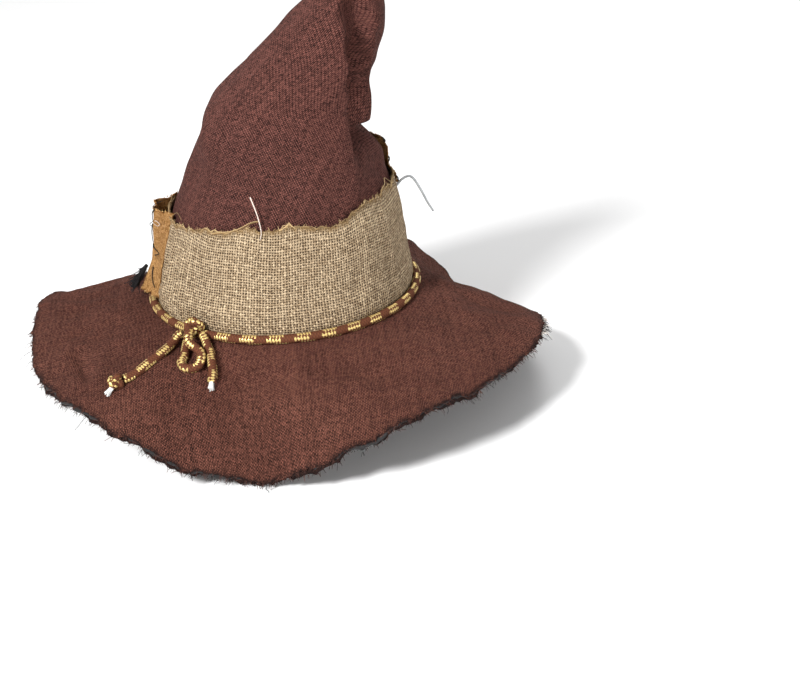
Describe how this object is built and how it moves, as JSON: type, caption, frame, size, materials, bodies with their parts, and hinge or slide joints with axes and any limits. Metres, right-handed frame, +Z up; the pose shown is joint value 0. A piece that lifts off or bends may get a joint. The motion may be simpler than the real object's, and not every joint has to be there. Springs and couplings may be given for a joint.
{
  "type": "witch hat",
  "caption": "Slouched cloth witch hat: leaning crown with a peak that flops, drooping raw-edged brim, frayed linen band, tied braided cord and stitched patches.",
  "frame": {"origin": "centre of the head opening, in the seam between crown and brim", "axes": "+Z up along the head opening, front of the hat at -Y, the crown leans to +X"},
  "size_m": [0.4021, 0.3967, 0.3512],
  "materials": {
    "brown_cloth": "coarse plain weave, matt",
    "dark_cloth": "coarse plain weave, matt",
    "black_backing": "non-woven, matt",
    "sweatband_ribbon": "grosgrain ribbon",
    "linen": "open plain weave, frayed top",
    "braided_cord": "braided, with pale gold metallic yarn",
    "cord_core": "bundled white yarn",
    "patch_cloth": "coarse weave, golden tan",
    "black_thread": "matt thread",
    "clear_nylon": "milky clear, glossy",
    "label_ribbon": "satin ribbon, blank"
  },
  "bodies": {
    "hat": {"sweatband": "sweatband_ribbon", "crown_lower": "brown_cloth", "fold_neck": "brown_cloth", "crown_backing": "black_backing", "brim_top": "brown_cloth", "brim_stiffener": "black_backing", "brim_underside": "dark_cloth", "hat_band": "linen", "cord_ring": "braided_cord", "cord_knot": "braided_cord", "patch_left": "patch_cloth", "black_tuft": "black_thread", "stitches_left": "black_thread", "patch_right": "patch_cloth", "stitches_right": "black_thread", "tag_fastener": "clear_nylon", "care_label": "label_ribbon"},
    "peak": {"crown_peak": "brown_cloth", "peak_backing": "black_backing"},
    "tail_left": {"cord_tail_left": "braided_cord", "stopper_knot": "braided_cord", "core_left": "cord_core"},
    "bow": {"bow_loop": "braided_cord", "cord_tail_right": "braided_cord", "core_right": "cord_core"}
  },
  "joints": [
    {"name": "peak_flop", "type": "hinge", "parent": "hat", "child": "peak", "pos_m": [0.0113, 0, 0.127], "axis": [0, 1, 0], "range_deg": [-20, 20]},
    {"name": "tail_left_lift", "type": "hinge", "parent": "hat", "child": "tail_left", "pos_m": [-0.0694, -0.0815, 0.009], "axis": [-0.6, 0.8, 0], "range_deg": [0, 50]},
    {"name": "bow_lift", "type": "hinge", "parent": "hat", "child": "bow", "pos_m": [-0.0694, -0.0815, 0.009], "axis": [-1, 0, 0], "range_deg": [0, 50]}
  ]
}
